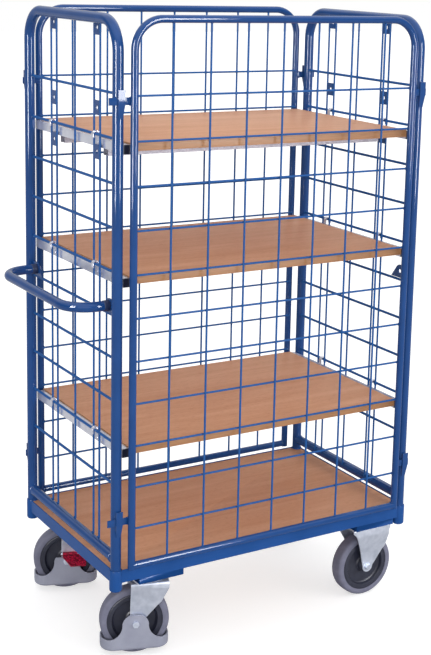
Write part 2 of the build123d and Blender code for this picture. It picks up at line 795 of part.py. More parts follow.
# Fixed castors: forks pressed from one sheet with their plates, wheels along the trolley
fixed_outline = [(-plate_length / 2, castor_height), (plate_length / 2, castor_height),
                 (plate_length / 2, plate_low - fork_fold_r), (fixed_front, plate_low - 2 * fork_fold_r),
                 (fixed_knee, fixed_knee_z), (fork_tip_r, wheel_r), (-fork_tip_r, wheel_r),
                 (-fixed_neck, fixed_neck_z), (-fixed_back, plate_low - 2 * fork_fold_r),
                 (-plate_length / 2, plate_low - fork_fold_r)]
with BuildPart() as fixed_forks:
    for x, y in fixed_spots:
        crown = castor_height - seam
        add(pressed_fork(castor_planes(x, y, 0), crown, plate_width / 2, castor_plate, fixed_outline))
        castor_bolt_holes(x, y)
save(fixed_forks.part, "fixed_forks")

with BuildPart() as fixed_axles:
    for x, y in fixed_spots:
        add(axle_bolt(castor_planes(x, y, 0), fork_low_half))
save(fixed_axles.part, "fixed_axles")

for side, name in ((-1, "front"), (1, "back")):
    save_wheel(castor_planes(mid_x + fixed_x, side * castor_y, 0), f"{name}_fixed")

# Swivel kingpins: a pin with a race collar above the fork crown and a head below it
head_top = crown_top - fork_steel - play
with BuildPart() as swivel_kingpins:
    for x, y in swivel_spots:
        rod_z(race_r, crown_top + play, plate_low - seam, x, y)
        rod_z(kingpin_r, head_top, plate_low - seam, x, y)
        rod_z(kingpin_head_r, head_top - kingpin_head, head_top, x, y)
save(swivel_kingpins.part, "swivel_kingpins")


# Swivel castors: trailing forks with a foot guard round the wheel and a brake pedal on the inner side
def swivel_fork(planes, pedal_side):
    """Pressed fork with a kingpin hole in its crown and two ears for the pedal pin."""
    floor, side, end = planes
    lead = swivel_trail + fork_front
    outline = [(-fork_back, crown_top), (lead, crown_top), (lead, crown_top - fork_nose),
               (fork_knee, fork_knee_z), (fork_tip_r, wheel_r), (-fork_back, wheel_r)]
    ear_reach = pedal_y - fork_low_half + fork_steel / 2
    with BuildPart() as fork:
        add(pressed_fork(planes, crown_top, fork_top_half, fork_steel, outline))
        with BuildSketch(floor.offset(crown_top - 2 * fork_steel)):
            with Locations((swivel_trail, 0)):
                Circle(kingpin_r + run_fit)
        extrude(amount=4 * fork_steel, mode=Mode.SUBTRACT)
        for x in (pedal_from - pedal_ear - seam - play, pedal_to + seam + play):
            with BuildSketch(end.offset(x)):
                with Locations((pedal_side * (pedal_y - ear_reach / 2), pedal_z)):
                    Rectangle(ear_reach, 2 * pedal_ear_r)
                with Locations((pedal_side * pedal_y, pedal_z)):
                    Circle(pedal_ear_r)
                    Circle(pedal_pin_r + seam, mode=Mode.SUBTRACT)
            extrude(amount=pedal_ear)
    return fork.part


def swivel_pins(planes, pedal_side):
    """Axle bolt of a swivel castor and the pin that its pedal turns on."""
    floor, side, end = planes
    pin_from = pedal_from - pedal_ear - pedal_pin_r
    pin_to = pedal_to + pedal_ear + pedal_pin_r
    with BuildPart() as pins:
        add(axle_bolt(planes, guard_width / 2))
        with BuildSketch(end.offset(pin_from)):
            with Locations((pedal_side * pedal_y, pedal_z)):
                Circle(pedal_pin_r)
        extrude(amount=pin_to - pin_from)
    return pins.part


def foot_guard(planes, pedal_side):
    """Moulded tub round the foot of the wheel whose long sides rise to bells over the axle ends."""
    floor, side, end = planes
    tub_top = guard_low + guard_height
    inner_half = guard_width / 2 - guard_wall
    with BuildPart() as hollow:
        with BuildSketch(floor.offset(guard_low + guard_wall)):
            RectangleRounded(guard_length - 2 * guard_wall, 2 * inner_half, guard_corner - guard_wall)
        extrude(amount=bell_top)
        fillet(hollow.edges().group_by(Axis.Z)[0], guard_round - guard_wall)
    with BuildPart() as guard:
        with BuildSketch(floor.offset(guard_low)):
            RectangleRounded(guard_length, guard_width, guard_corner)
        extrude(amount=bell_top - guard_low)
        fillet(guard.edges().group_by(Axis.Z)[0], guard_round)
        add(hollow.part, mode=Mode.SUBTRACT)
        with BuildSketch(floor):
            RectangleRounded(guard_length - 2 * guard_lip, guard_width - 2 * guard_lip,
                             guard_corner - guard_lip)
        extrude(amount=tub_top, mode=Mode.SUBTRACT)
        with BuildSketch(side):
            with BuildLine():
                top = Line((0, bell_top), (bell_crown, bell_top))
                cheek = (bell_shoulder - bell_cheek, bell_waist_z + bell_cheek_rise)
                shoulder = ThreePointArc(top @ 1, cheek, (bell_shoulder, bell_waist_z))
                hollow_point = (bell_waist, (bell_waist_z + tub_top) / 2 - bell_sag)
                flare = ThreePointArc(shoulder @ 1, hollow_point, (bell_foot, tub_top))
                Polyline(flare @ 1, (guard_length, tub_top), (guard_length, 0), (0, 0))
                mirror(about=Plane.YZ)
            make_face()
        extrude(amount=guard_width, both=True, mode=Mode.INTERSECT)
        with Locations(end.location):
            with Locations((pedal_side * guard_width / 2, web_pedal_top + wheel_r, 0)):
                Box(4 * guard_wall, 2 * wheel_r, guard_length, mode=Mode.SUBTRACT)
        for face in (-1, 1):
            cross_rod(side, web_boss_r, face * (fork_low_half + seam), face * (inner_half + guard_wall / 2))
        with BuildSketch(side):
            with Locations((0, wheel_r)):
                Circle(axle_r + seam)
        extrude(amount=guard_width, both=True, mode=Mode.SUBTRACT)
    return guard.part


def brake_pedal(planes, pedal_side):
    """Ribbed foot pad that slopes outwards from a barrel on the pedal pin."""
    floor, side, end = planes
    hinge = end.from_local_coords((pedal_side * pedal_y, pedal_z, 0))
    along = floor.x_dir * pedal_side
    normal = Vector(0, 0, 1).rotate(Axis((0, 0, 0), floor.x_dir), -pedal_side * pedal_slope)
    pad = Plane(origin=hinge, x_dir=along, z_dir=normal)
    inner_v = pedal_ear_r + 2 * play
    pad_end = pedal_edge + pedal_length
    outline = [(pedal_side * a, b) for a, b in ((pedal_edge, inner_v), (pad_end, inner_v),
               (pad_end, pedal_run), (pedal_edge + pedal_cut, pedal_run))]
    neck = pedal_to - pedal_from
    rib_pitch = (pedal_run - inner_v) / rib_count
    with BuildPart() as pedal:
        with BuildSketch(end.offset(pedal_from)):
            with Locations((pedal_side * pedal_y, pedal_z)):
                Circle(pedal_barrel_r)
        extrude(amount=neck)
        with BuildSketch(pad.offset(-pedal_thick / 2)) as plan:
            Polygon(*outline, align=None)
            fillet(plan.vertices(), pedal_round)
            with Locations((pedal_side * (pedal_from + pedal_to) / 2, inner_v)):
                Rectangle(neck, 2 * inner_v)
        extrude(amount=pedal_thick)
        with BuildSketch(pad.offset(pedal_thick / 2)):
            Polygon(*outline, align=None)
            with Locations((0, (inner_v + pedal_run) / 2)):
                with GridLocations(rib_pitch, rib_pitch, 1, rib_count):
                    Rectangle(4 * pedal_length, rib_pitch - rib_width, mode=Mode.SUBTRACT)
        extrude(amount=rib_height)
        with BuildSketch(end.offset(pedal_from)):
            with Locations((pedal_side * pedal_y, pedal_z)):
                Circle(pedal_pin_r + pedal_fit)
        extrude(amount=neck, mode=Mode.SUBTRACT)
    return pedal.part


for side, name in ((-1, "front"), (1, "back")):
    trail = Vector(-swivel_trail, 0, 0).rotate(Axis.Z, -swivel_turn)
    spot = castor_planes(mid_x + swivel_x + trail.X, side * castor_y + trail.Y, -swivel_turn)
    save(swivel_fork(spot, -side), f"{name}_swivel_fork")
    save(swivel_pins(spot, -side), f"{name}_swivel_pins")
    save(foot_guard(spot, -side), f"{name}_foot_guard")
    save(brake_pedal(spot, -side), f"{name}_brake_pedal")
    save_wheel(spot, f"{name}_swivel")
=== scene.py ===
"""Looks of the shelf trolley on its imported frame: paint, boards, plated steel, rubber and plastics."""
import math

import bmesh
import bpy
from mathutils import Matrix, Vector


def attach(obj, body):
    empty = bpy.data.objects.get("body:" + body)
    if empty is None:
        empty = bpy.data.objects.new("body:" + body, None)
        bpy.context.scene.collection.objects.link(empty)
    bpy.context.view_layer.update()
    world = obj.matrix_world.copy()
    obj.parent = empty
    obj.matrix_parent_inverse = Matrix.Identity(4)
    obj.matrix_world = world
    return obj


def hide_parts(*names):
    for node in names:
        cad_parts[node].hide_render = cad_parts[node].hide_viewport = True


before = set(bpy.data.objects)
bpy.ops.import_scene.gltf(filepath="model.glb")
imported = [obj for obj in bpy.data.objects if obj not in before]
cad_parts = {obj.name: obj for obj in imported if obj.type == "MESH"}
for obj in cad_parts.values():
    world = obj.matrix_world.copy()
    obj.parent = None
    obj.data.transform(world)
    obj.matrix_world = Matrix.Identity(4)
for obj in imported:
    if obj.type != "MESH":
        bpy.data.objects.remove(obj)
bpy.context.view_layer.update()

# Edge rails and cross channels: folded mild steel, welded into one base and powder coated blue with
# the rest of the frame. The rails hold the deck on a ledge, the channels carry the castors.
mm = 0.001


def linear(colour):
    """Linear colour of a written sRGB hex value."""
    parts = [int(colour[n:n + 2], 16) / 255 for n in (1, 3, 5)]
    return [*(p / 12.92 if p <= 0.04045 else ((p + 0.055) / 1.055) ** 2.4 for p in parts), 1.0]


def add_node(tree, kind, inputs, stops=(), **settings):
    """Adds one shader node with its settings and its ramp's stops, and sets or links its inputs."""
    made = tree.nodes.new(kind)
    for name, value in settings.items():
        setattr(made, name, value)
    for n, (position, colour) in enumerate(stops):
        made.color_ramp.elements[n].position = position
        made.color_ramp.elements[n].color = linear(colour)
    for name, value in inputs.items():
        if isinstance(value, bpy.types.NodeSocket):
            tree.links.new(value, made.inputs[name])
        else:
            made.inputs[name].default_value = value
    return made


def start_finish(name):
    """Empty material, its tree and the place on the piece in metres."""
    made = bpy.data.materials.new(name)
    made.use_nodes = True
    made.node_tree.nodes.clear()
    place = add_node(made.node_tree, "ShaderNodeTexCoord", {}).outputs["Object"]
    return made, made.node_tree, place


def powder_coat(name, dark, light, smoothest, roughest, shine):
    """Blue powder coat: a slight orange peel, 2 mm from crest to crest, its tone shifting where it pooled."""
    made, tree, place = start_finish(name)
    peel = add_node(tree, "ShaderNodeTexNoise", {"Vector": place, "Scale": 1 / (2 * mm), "Detail": 1.0})
    bump = add_node(tree, "ShaderNodeBump", {"Height": peel.outputs["Fac"], "Strength": 0.08,
                                             "Distance": 0.2 * mm})
    pool = add_node(tree, "ShaderNodeTexNoise", {"Vector": place, "Scale": 1 / (90 * mm), "Detail": 3.0})
    tone = add_node(tree, "ShaderNodeValToRGB", {"Fac": pool.outputs["Fac"]},
                    stops=((0.3, dark), (0.7, light)))
    gloss = add_node(tree, "ShaderNodeMapRange", {"Value": pool.outputs["Fac"], "To Min": smoothest,
                                                  "To Max": roughest})
    shader = add_node(tree, "ShaderNodeBsdfPrincipled", {
        "Base Color": tone.outputs["Color"], "Roughness": gloss.outputs["Result"], "IOR": 1.45,
        "Specular IOR Level": shine, "Normal": bump.outputs["Normal"]})
    add_node(tree, "ShaderNodeOutputMaterial", {"Surface": shader.outputs["BSDF"]})
    return made


# On the folded base the powder coat lies thick and is dulled by knocks and dust: a weak, broad sheen over
# the peel, and a tone that shifts by a few per cent.
base_paint = powder_coat("blue_powder_coat_on_plate", "#204D8E", "#255397", 0.2, 0.3, 0.12)


def softened(node_name, width):
    """Copy of a rigid node in millimetres with its outer edges rounded, as paint and tumbling leave them."""
    touching, flat_to, sharp_from = 0.002, math.radians(0.5), math.radians(40)
    mesh = bmesh.new()
    mesh.from_mesh(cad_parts[node_name].data)
    bmesh.ops.scale(mesh, vec=[1 / mm] * 3, verts=mesh.verts)
    bmesh.ops.remove_doubles(mesh, verts=mesh.verts, dist=touching)
    bmesh.ops.dissolve_limit(mesh, angle_limit=flat_to, verts=mesh.verts, edges=mesh.edges)
    corners = [e for e in mesh.edges if e.is_manifold and e.calc_face_angle_signed(0) > sharp_from]
    bmesh.ops.bevel(mesh, geom=corners, offset=width, offset_type="OFFSET", affect="EDGES", segments=2,
                    profile=0.5, material=-1, clamp_overlap=True)
    return mesh


def put_in_scene(name, data):
    """Object of the given data, linked into the scene at the origin."""
    made = bpy.data.objects.new(name, data)
    bpy.context.scene.collection.objects.link(made)
    return made


def finish_piece(mesh, name, body, finishes, node_name, smooth_to=42, flat_faces=False):
    """Makes a mesh in millimetres an object in metres that rides on a body in place of its node."""
    bmesh.ops.scale(mesh, vec=[mm] * 3, verts=mesh.verts)
    data = bpy.data.meshes.new(name)
    mesh.to_mesh(data)
    mesh.free()
    for finish in finishes:
        data.materials.append(finish)
    data.shade_smooth()
    data.set_sharp_from_angle(angle=math.radians(smooth_to))
    made = put_in_scene(name, data)
    if flat_faces:
        made.modifiers.new("flat_faces", "WEIGHTED_NORMAL").keep_sharp = True
    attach(made, body)
    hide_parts(node_name)


def rounded_copy(node_name, width, name, body, finish):
    """Copy of a rigid node with rounded edges in one finish, its flat faces kept flat to the light."""
    finish_piece(softened(node_name, width), name, body, [finish], node_name, flat_faces=True)


folded_edge = 0.8
for part in ("base_rails", "castor_channels"):
    rounded_copy(part, folded_edge, f"painted_{part}", "trolley", base_paint)


# Corner sockets: drawn steel cups, round at the bottom, welded into the corners of the base.
# The feet of the end walls stand in them.
def turned(mesh, outline, place, steps=48):
    """Turns an outline of radius and height points about an upright line, then puts it in its place."""
    touching = 0.0005
    shape = bmesh.new()
    points = [shape.verts.new((radius, 0, height)) for radius, height in outline]
    edges = [shape.edges.new(pair) for pair in zip(points, points[1:])]
    bmesh.ops.spin(shape, geom=points + edges, cent=(0, 0, 0), axis=(0, 0, 1), dvec=(0, 0, 0),
                   angle=2 * math.pi, steps=steps, use_merge=True)
    bmesh.ops.remove_doubles(shape, verts=shape.verts, dist=touching)
    bmesh.ops.recalc_face_normals(shape, faces=shape.faces)
    bmesh.ops.transform(shape, matrix=place, verts=shape.verts)
    ready = bpy.data.meshes.new("turned")
    shape.to_mesh(ready)
    shape.free()
    mesh.from_mesh(ready)
    bpy.data.meshes.remove(ready)


mid_x, end_half, leg_half = 46.0, 492.5, 298.0
rail_top, socket_low, socket_r, socket_round = 296.0, 233.0, 17.92, 7.0
mouth_r, mouth_deep, lip_wide, lip_high = 15.1, 30.0, 0.8, 1.5
cup = [(0, socket_low), (socket_r - socket_round, socket_low)]
cup += [(socket_r - socket_round * (1 - math.sin(a)), socket_low + socket_round * (1 - math.cos(a)))
        for a in (math.pi * n / 12 for n in range(1, 7))]
cup += [(socket_r, rail_top - lip_high), (socket_r - lip_wide, rail_top), (mouth_r, rail_top),
        (mouth_r, rail_top - mouth_deep), (0, rail_top - mouth_deep)]
sockets = bmesh.new()
for x in (mid_x - end_half, mid_x + end_half):
    for y in (-leg_half, leg_half):
        turned(sockets, cup, Matrix.Translation((x, y, 0)))
finish_piece(sockets, "painted_sockets", "trolley", [base_paint], "corner_sockets")

# Deck and shelf boards: chipboard with a beech-effect melamine face and a plain edge band, sawn square with
# the edges just broken. The deck lies on the ledge of the base rails.

# The pressed face shows slow bands of tone, about 550 by 46 mm, and short dark flecks along the length,
# 18 by 2 mm, under a weak satin sheen. Sockets 6 and 7 of the mix are its two colours.
beech_face, tree, place = start_finish("beech_laminate")
along = add_node(tree, "ShaderNodeMapping", {"Vector": place, "Scale": (1.0, 12.0, 12.0)})
band = add_node(tree, "ShaderNodeTexNoise", {"Vector": along.outputs["Vector"], "Scale": 1 / (550 * mm),
                                             "Detail": 4.0, "Roughness": 0.6, "Distortion": 0.6})
fine = add_node(tree, "ShaderNodeMapping", {"Vector": place, "Scale": (1.0, 9.0, 9.0)})
fleck = add_node(tree, "ShaderNodeTexNoise", {"Vector": fine.outputs["Vector"], "Scale": 1 / (18 * mm),
                                              "Detail": 2.0})
speck = add_node(tree, "ShaderNodeMapRange", {"Value": fleck.outputs["Fac"], "From Min": 0.56,
                                              "From Max": 0.72, "To Max": 0.55})
tone = add_node(tree, "ShaderNodeValToRGB", {"Fac": band.outputs["Fac"]},
                stops=((0.32, "#CE9673"), (0.68, "#DCA786")))
grained = add_node(tree, "ShaderNodeMix", {0: speck.outputs["Result"], 6: tone.outputs["Color"],
                                           7: linear("#B07352")}, data_type="RGBA")
pores = add_node(tree, "ShaderNodeBump", {"Height": fleck.outputs["Fac"], "Strength": 0.08,
                                          "Distance": 0.2 * mm})
shader = add_node(tree, "ShaderNodeBsdfPrincipled", {
    "Base Color": grained.outputs[2], "Roughness": 0.36, "IOR": 1.5, "Specular IOR Level": 0.03,
    "Normal": pores.outputs["Normal"]})
add_node(tree, "ShaderNodeOutputMaterial", {"Surface": shader.outputs["BSDF"]})

# The edge band is a thin glued strip of the same decor without the fine flecks, a little warmer and
# duller, with streaks about 60 mm long and 4 mm high.
beech_edge, tree, place = start_finish("beech_edge_band")
along = add_node(tree, "ShaderNodeMapping", {"Vector": place, "Scale": (1.0, 1.0, 14.0)})
streak = add_node(tree, "ShaderNodeTexNoise", {"Vector": along.outputs["Vector"], "Scale": 1 / (60 * mm),
                                               "Detail": 4.0})
tone = add_node(tree, "ShaderNodeValToRGB", {"Fac": streak.outputs["Fac"]},
                stops=((0.3, "#A06C40"), (0.7, "#B07A4B")))
shader = add_node(tree, "ShaderNodeBsdfPrincipled", {"Base Color": tone.outputs["Color"], "Roughness": 0.55,
                                                     "IOR": 1.5})
add_node(tree, "ShaderNodeOutputMaterial", {"Surface": shader.outputs["BSDF"]})


def board(node_name, name, body):
    """Board with its edges broken, the band on its upright faces."""
    broken_edge = 0.6
    mesh = softened(node_name, broken_edge)
    for face in mesh.faces:
        face.material_index = 0 if abs(face.normal.z) > 0.5 else 1
    finish_piece(mesh, name, body, [beech_face, beech_edge], node_name)


board("deck_board", "deck_panel", "trolley")


# End walls: steel tube of 30 mm bent to a hoop with a cross bar low down, filled with level wires of 8 mm
# and uprights of 6 mm. These are spot welded where they cross and puddle welded to the tube, and all is
# coated in one go.
tube_sides, bend_steps, wire_sides = 28, 16, 16


def tube(mesh, corners, bend, radius):
    """Tube drawn along corner points, bent to a radius at each of them and closed at both ends."""
    points = [Vector(c) for c in corners]
    here = points[0]
    heading = (points[1] - points[0]).normalized()
    lie = Matrix.Translation(here) @ Vector((0, 0, 1)).rotation_difference(heading).to_matrix().to_4x4()
    start = bmesh.ops.create_circle(mesh, cap_ends=True, radius=radius, segments=tube_sides,
                                    matrix=lie)["verts"]
    loop = list({e for v in start for e in v.link_edges})
    for corner, beyond in zip(points[1:], points[2:] + [None]):
        out = (beyond - corner).normalized() if beyond else heading
        angle = heading.angle(out)
        cut = bend * math.tan(angle / 2)
        made = bmesh.ops.extrude_edge_only(mesh, edges=loop)["geom"]
        ends = {g for g in made if isinstance(g, bmesh.types.BMVert)}
        bmesh.ops.translate(mesh, verts=list(ends), vec=corner - heading * cut - here)
        loop = [g for g in made if isinstance(g, bmesh.types.BMEdge) and set(g.verts) <= ends]
        if beyond:
            axis = heading.cross(out).normalized()
            hub = corner - heading * cut + axis.cross(heading) * bend
            bent = bmesh.ops.spin(mesh, geom=loop, cent=hub, axis=axis, dvec=(0, 0, 0), angle=angle,
                                  steps=bend_steps)["geom_last"]
            loop = [g for g in bent if isinstance(g, bmesh.types.BMEdge)]
            here = corner + out * cut
            heading = out
    bmesh.ops.contextual_create(mesh, geom=loop)


def rod(mesh, start, stop, radius, sides=wire_sides):
    """Straight round bar between two points."""
    a, b = Vector(start), Vector(stop)
    lie = Vector((0, 0, 1)).rotation_difference(b - a).to_matrix().to_4x4()
    bmesh.ops.create_cone(mesh, cap_ends=True, segments=sides, radius1=radius, radius2=radius,
                          depth=(b - a).length, matrix=Matrix.Translation((a + b) / 2) @ lie)


def weld(mesh, place, size):
    """Small round puddle of weld metal under the paint."""
    bmesh.ops.create_icosphere(mesh, subdivisions=1, radius=1.0,
                               matrix=Matrix.Translation(place) @ Matrix.Diagonal((*size, 1.0)))


def weld_ring(mesh, place, heading, tube_r, rise):
    """Fillet bead run round a tube where it meets another."""
    radius, root = tube_r - 0.5, tube_r - 1.0
    turn = Vector((0, 0, 1)).rotation_difference(Vector(heading)).to_matrix().to_4x4()
    bead = [(root, -rise), (radius + rise * 0.55, -rise * 0.5), (radius + rise * 0.85, 0.0),
            (radius + rise * 0.55, rise * 0.5), (root, rise)]
    turned(mesh, bead, Matrix.Translation(place) @ turn, tube_sides)


# On bent tube the powder coat melts to a smooth gloss: sharp bright lines along the tube, broken by the peel,
# over a deep blue. That blue is set darker than the same coat on the base: painted shade for the dark streaks
# between the bright lines.
blue_paint = powder_coat("blue_powder_coat_on_tube_painted_darker", "#1B447F", "#204A88", 0.05, 0.09, 0.32)

# On wire the same powder builds a thinner skin that draws off the crown: even in tone, dull, with hardly
# any gloss and low waves about 6 mm long. Its tones are set lighter than the coat on the tube: painted light
# for the light thin wire catches from all round.
wire_paint_painted_lighter, tree, place = start_finish("blue_powder_coat_on_wire_painted_lighter")
crawl = add_node(tree, "ShaderNodeTexNoise", {"Vector": place, "Scale": 1 / (6 * mm), "Detail": 2.0})
waves = add_node(tree, "ShaderNodeBump", {"Height": crawl.outputs["Fac"], "Strength": 0.1,
                                          "Distance": 0.2 * mm})
tone = add_node(tree, "ShaderNodeValToRGB", {"Fac": crawl.outputs["Fac"]},
                stops=((0.3, "#255797"), (0.7, "#2A5EA1")))
shader = add_node(tree, "ShaderNodeBsdfPrincipled", {
    "Base Color": tone.outputs["Color"], "Roughness": 0.35, "IOR": 1.45, "Specular IOR Level": 0.06,
    "Normal": waves.outputs["Normal"]})
add_node(tree, "ShaderNodeOutputMaterial", {"Surface": shader.outputs["BSDF"]})

end_tube_r, end_top, end_bar_z, leg_low, end_bend = 15.0, 1810.0, 328.0, 241.0, 85.0
wire_r, level_r, level_in, upright_in = 3.0, 4.0, 4.9, 11.92
top_level, level_pitch = 1618.5, 120.0
end_levels = [top_level - level_pitch * n for n in range(10)]
end_uprights = [-164.0, -126.0, 0.0, 126.0, 164.0]
bar_slack = 0.03
bead_in, bead_rise = 14.5, 3.0
foot_in, foot_out, foot_weld = 13.0, 2.0, (4.0, 5.4, 4.0)
leg_in, leg_weld = 14.2, (5.4, 3.4, 5.8)
cross_weld = (2.2, 3.6, 4.4)
for side, end_name in ((-1, "left"), (1, "right")):
    x = mid_x + side * end_half
    hoop = bmesh.new()
    tube(hoop, [(x, -leg_half, leg_low), (x, -leg_half, end_top), (x, leg_half, end_top),
                (x, leg_half, leg_low)], end_bend, end_tube_r)
    rod(hoop, (x, -leg_half, end_bar_z), (x, leg_half, end_bar_z), end_tube_r - bar_slack, tube_sides)
    for y in (-1, 1):
        weld_ring(hoop, (x, y * (leg_half - bead_in), end_bar_z), (0, 1, 0), end_tube_r, bead_rise)
    bmesh.ops.recalc_face_normals(hoop, faces=hoop.faces)
    finish_piece(hoop, f"{end_name}_end_tubes", "trolley", [blue_paint],
                 f"{end_name}_end_frame")

    mesh = bmesh.new()
    inner, outer = x - side * upright_in, x - side * level_in
    for y in end_uprights:
        rod(mesh, (inner, y, end_bar_z), (inner, y, end_top), wire_r)
        for z in (end_bar_z + foot_in, end_top - foot_in):
            weld(mesh, (inner + side * foot_out, y, z), foot_weld)
        for z in end_levels:
            weld(mesh, (inner + side * wire_r, y, z), cross_weld)
    for z in end_levels:
        rod(mesh, (outer, -leg_half, z), (outer, leg_half, z), level_r)
        for y in (-1, 1):
            weld(mesh, (outer, y * (leg_half - leg_in), z), leg_weld)
    finish_piece(mesh, f"{end_name}_end_grid", "trolley", [wire_paint_painted_lighter],
                 f"{end_name}_end_wires")

# Plates, keepers and lugs: flame-cut and folded flats welded to the end walls. The drilled plates stiffen
# the paired wires, the keepers catch the long walls and the lugs are there for a handle at either end.
for part, width in (("end_plates", 0.5), ("wall_keepers", 0.5), ("handle_lugs", 0.7)):
    rounded_copy(part, width, f"painted_{part}", "trolley", blue_paint)


# Push handle: 28 mm steel tube bent to a bow and coated blue, its roots in moulded collars against the lugs,
# their dark blue partly painted shade. A zinc-plated bolt through each lug screws into the root.
def moulded_plastic(name, dark, light, roughness):
    """Plastic with the grain of its eroded tool, drawn at 1.2 mm because the real one is too fine to show."""
    made, tree, place = start_finish(name)
    grain = add_node(tree, "ShaderNodeTexNoise", {"Vector": place, "Scale": 1 / (1.2 * mm), "Detail": 2.0})
    tone = add_node(tree, "ShaderNodeValToRGB", {"Fac": grain.outputs["Fac"]},
                    stops=((0.3, dark), (0.7, light)))
    bump = add_node(tree, "ShaderNodeBump", {"Height": grain.outputs["Fac"], "Strength": 0.15,
                                             "Distance": 0.2 * mm})
    shader = add_node(tree, "ShaderNodeBsdfPrincipled", {
        "Base Color": tone.outputs["Color"], "Roughness": roughness, "IOR": 1.5,
        "Normal": bump.outputs["Normal"]})
    add_node(tree, "ShaderNodeOutputMaterial", {"Surface": shader.outputs["BSDF"]})
    return made


# The collars' plastic is close to the paint in hue and dull. It is drawn much darker than the paint: painted
# shade for the shadow at the roots.
navy_plastic_with_painted_shade = moulded_plastic("blue_plastic_darkened_with_painted_shade", "#1B2A4E", "#22345C", 0.5)

# Zinc plate passivates to a pale blue-grey with a soft cloud in its sheen, about 20 mm wide, and faint
# drawing lines 14 by 1 mm.
zinc_plate, tree, place = start_finish("zinc_plated_steel")
cloud = add_node(tree, "ShaderNodeTexNoise", {"Vector": place, "Scale": 1 / (20 * mm), "Detail": 4.0})
drawn = add_node(tree, "ShaderNodeMapping", {"Vector": place, "Scale": (14.0, 14.0, 1.0)})
line = add_node(tree, "ShaderNodeTexNoise", {"Vector": drawn.outputs["Vector"], "Scale": 1 / (14 * mm),
                                             "Detail": 2.0})
tone = add_node(tree, "ShaderNodeValToRGB", {"Fac": cloud.outputs["Fac"]},
                stops=((0.3, "#BBC2D1"), (0.7, "#D2D7E4")))
sheen = add_node(tree, "ShaderNodeMapRange", {"Value": cloud.outputs["Fac"], "To Min": 0.36, "To Max": 0.52})
lines = add_node(tree, "ShaderNodeBump", {"Height": line.outputs["Fac"], "Strength": 0.06,
                                          "Distance": 0.2 * mm})
shader = add_node(tree, "ShaderNodeBsdfPrincipled", {
    "Base Color": tone.outputs["Color"], "Metallic": 0.85, "Roughness": sheen.outputs["Result"],
    "Normal": lines.outputs["Normal"]})
add_node(tree, "ShaderNodeOutputMaterial", {"Surface": shader.outputs["BSDF"]})

handle_z, handle_half, handle_r, handle_bend = 1043.5, 250.0, 14.0, 75.0
root_off, bow_reach = 2.02, 112.5
handle_root, handle_out = mid_x - end_half - root_off, mid_x - end_half - bow_reach
bow = bmesh.new()
tube(bow, [(handle_root, -handle_half, handle_z), (handle_out, -handle_half, handle_z),
           (handle_out, handle_half, handle_z), (handle_root, handle_half, handle_z)], handle_bend, handle_r)
bmesh.ops.recalc_face_normals(bow, faces=bow.faces)
finish_piece(bow, "push_bow", "trolley", [blue_paint], "push_handle")
sleeves = bmesh.new()
sleeve = [(14.02, 0.0), (14.6, 0.0), (15.0, 0.5), (15.0, 15.2), (14.8, 16.4), (14.4, 17.0), (14.02, 17.0),
          (14.02, 0.0)]
lay_outward = Matrix.Rotation(-math.pi / 2, 4, "Y")
for y in (-handle_half, handle_half):
    turned(sleeves, sleeve, Matrix.Translation((handle_root, y, handle_z)) @ lay_outward)
finish_piece(sleeves, "root_sleeves", "trolley", [navy_plastic_with_painted_shade], "handle_sleeves")
pressed_edge = 0.5
rounded_copy("hex_bolts", pressed_edge, "plated_bolts", "trolley", zinc_plate)

# Long walls: lighter frames of 21 mm tube with a square mesh of 6 mm wire. Flat tabs welded to their legs
# drop into the keepers of the end walls, so each wall lifts straight out. The leg beside the short tabs
# stands further in than the other.
wall_y, wall_tube_r, wall_top, wall_bar_z, wall_bend = 323.5, 10.5, 1814.5, 310.0, 80.0
leg_beside_long, leg_beside_short = 35.5, 40.0
low_level, upright_pitch = 415.0, 115.0
wall_levels = [low_level + level_pitch * n for n in range(11)]
wall_uprights = [upright_pitch * n for n in range(-3, 4)]
tab_thick, tab_height, tab_long, tab_short, tab_gap = 3.8, 20.0, 34.5, 14.5, 2.75
tab_edge, tab_levels = 0.6, (443.0, 1602.0)
tab_weld_out, tab_weld_off, tab_weld = 9.0, 1.0, (4.5, 3.4, 2.2)
bar_bead_in, bar_bead_off, bar_bead_rise = 10.0, 1.6, 2.4
wire_sunk, wire_step = 1.5, 6.02
bar_weld_in, bar_weld = 9.6, (4.8, 4.0, 3.2)
side_weld_in, side_weld_off, side_weld = 8.5, 1.0, (3.2, 3.6, 4.6)
grid_weld = (3.4, 2.2, 3.4)
